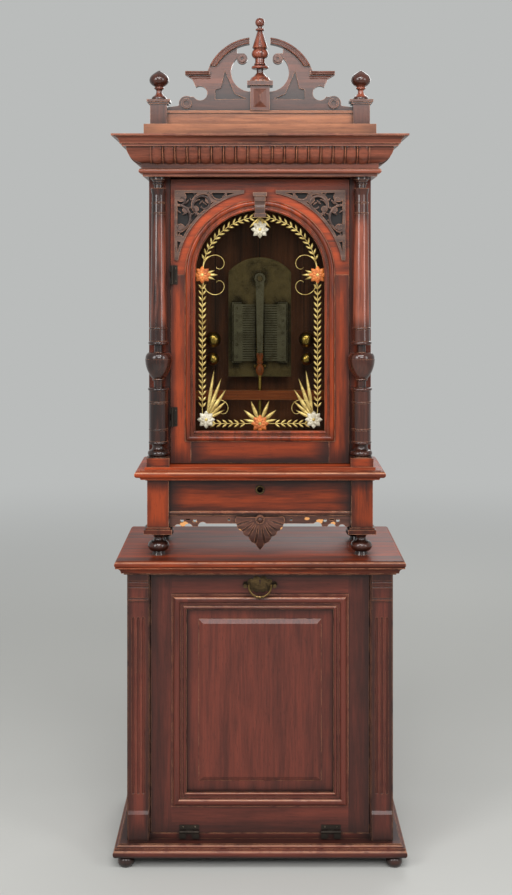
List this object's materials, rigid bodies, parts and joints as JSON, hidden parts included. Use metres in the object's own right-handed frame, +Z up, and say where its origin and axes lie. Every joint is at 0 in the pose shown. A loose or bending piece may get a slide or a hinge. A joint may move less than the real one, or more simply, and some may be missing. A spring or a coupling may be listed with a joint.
{
  "type": "upright disc music box",
  "caption": "Upright disc music box: glazed arched door, turned columns and carved crown over a cabinet whose fall-front flap holds the tune discs.",
  "frame": {"origin": "on the floor under the middle of the object's box", "axes": "+X to the viewer's right, front towards -Y, +Z up"},
  "size_m": [0.728, 0.469, 2.1054],
  "materials": {
    "case_wood": "old polished walnut, satin",
    "carved_wood": "old polished walnut, satin",
    "inner_wood": "plain oiled wood",
    "handle_wood": "turned and polished",
    "brass": "aged",
    "steel": "aged bright steel",
    "iron": "bronzed cast iron",
    "disc_metal": "lacquered zinc sheet",
    "glass": "old flat glass"
  },
  "bodies": {
    "root": {"bun_feet": "carved_wood", "cabinet_plinth": "carved_wood", "cabinet_floor": "inner_wood", "cabinet_sides": "case_wood", "cabinet_back": "inner_wood", "cabinet_stiles": "case_wood", "pilasters": "case_wood", "flap_sill": "case_wood", "cabinet_top": "case_wood", "disc_rack": "inner_wood", "tune_discs": "disc_metal", "hinge_butts": "brass", "case_feet": "carved_wood", "case_posts": "case_wood", "base_panels": "case_wood", "winding_panel": "case_wood", "winding_collar": "brass", "apron": "carved_wood", "waist_ledge": "case_wood", "column_blocks": "case_wood", "columns": "carved_wood", "case_sides": "case_wood", "case_back": "inner_wood", "case_stiles": "case_wood", "cornice": "case_wood", "gallery": "case_wood", "pedestals": "case_wood", "acorn_finials": "carved_wood", "pediment": "case_wood", "centre_block": "case_wood", "spire": "carved_wood", "bedplate": "iron", "combs": "steel", "gantry": "brass", "bells": "brass", "cross_rail": "inner_wood", "motor_frame": "brass"},
    "flap": {"flap_frame": "case_wood", "flap_moulding": "carved_wood", "flap_panel": "case_wood", "pull_plate": "brass", "flap_lock": "iron", "flap_hinge_leaves": "brass"},
    "bail": {"flap_bail": "brass"},
    "bolt": {"lock_bolt": "steel"},
    "door": {"door_stiles": "case_wood", "door_bottom_rail": "case_wood", "door_head": "case_wood", "door_moulding": "carved_wood", "door_carvings": "carved_wood", "door_glass": "glass", "door_hinge_leaves": "case_wood"},
    "stars": {"star_wheels": "steel"},
    "arm": {"pressure_arm": "brass", "arm_handle": "handle_wood"},
    "barrel": {"spring_barrel": "brass"},
    "winder": {"winding_arbor": "steel"},
    "click": {"click": "steel"},
    "drive": {"drive_arbor": "steel"},
    "governor": {"governor_fan": "steel"}
  },
  "joints": [
    {"name": "flap_fall", "type": "hinge", "parent": "root", "child": "flap", "pos_m": [0, -0.1775, 0.079], "axis": [1, 0, 0], "range_deg": [0, 90]},
    {"name": "bail_swing", "type": "hinge", "parent": "flap", "child": "bail", "pos_m": [0, -0.1905, 0.6926], "axis": [-1, 0, 0], "range_deg": [0, 90]},
    {"name": "lock_throw", "type": "slide", "parent": "flap", "child": "bolt", "axis": [0, 0, 1], "range_m": [0, 0.008]},
    {"name": "door_swing", "type": "hinge", "parent": "root", "child": "door", "pos_m": [-0.222, -0.1135, 1.4], "axis": [0, 0, -1], "range_deg": [0, 90]},
    {"name": "star_spin", "type": "hinge", "parent": "root", "child": "stars", "pos_m": [0, -0.0135, 1.253], "axis": [0, 0, 1], "continuous": true},
    {"name": "arm_swing", "type": "hinge", "parent": "root", "child": "arm", "pos_m": [0, -0.0415, 1.45], "axis": [0, -1, 0], "range_deg": [0, 100]},
    {"name": "barrel_turn", "type": "hinge", "parent": "root", "child": "barrel", "pos_m": [0, -0.0075, 0.922], "axis": [0, 1, 0], "continuous": true},
    {"name": "drive_turn", "type": "hinge", "parent": "root", "child": "drive", "pos_m": [0, -0.0075, 1.042], "axis": [0, 0, 1], "continuous": true},
    {"name": "governor_spin", "type": "hinge", "parent": "root", "child": "governor", "pos_m": [0.1, -0.0075, 0.922], "axis": [1, 0, 0], "continuous": true},
    {"name": "winding_turn", "type": "hinge", "parent": "root", "child": "winder", "pos_m": [0, -0.1035, 0.922], "axis": [0, 1, 0], "continuous": true},
    {"name": "click_lift", "type": "hinge", "parent": "root", "child": "click", "pos_m": [-0.03098, -0.0835, 0.92308], "axis": [0, -1, 0], "range_deg": [0, 12], "stiffness_Nm_per_rad": 0.02, "springref_deg": -2.86}
  ],
  "couplings": [
    {"joint": "drive_turn", "follows": "barrel_turn", "ratio": -5},
    {"joint": "governor_spin", "follows": "barrel_turn", "ratio": -5}
  ]
}
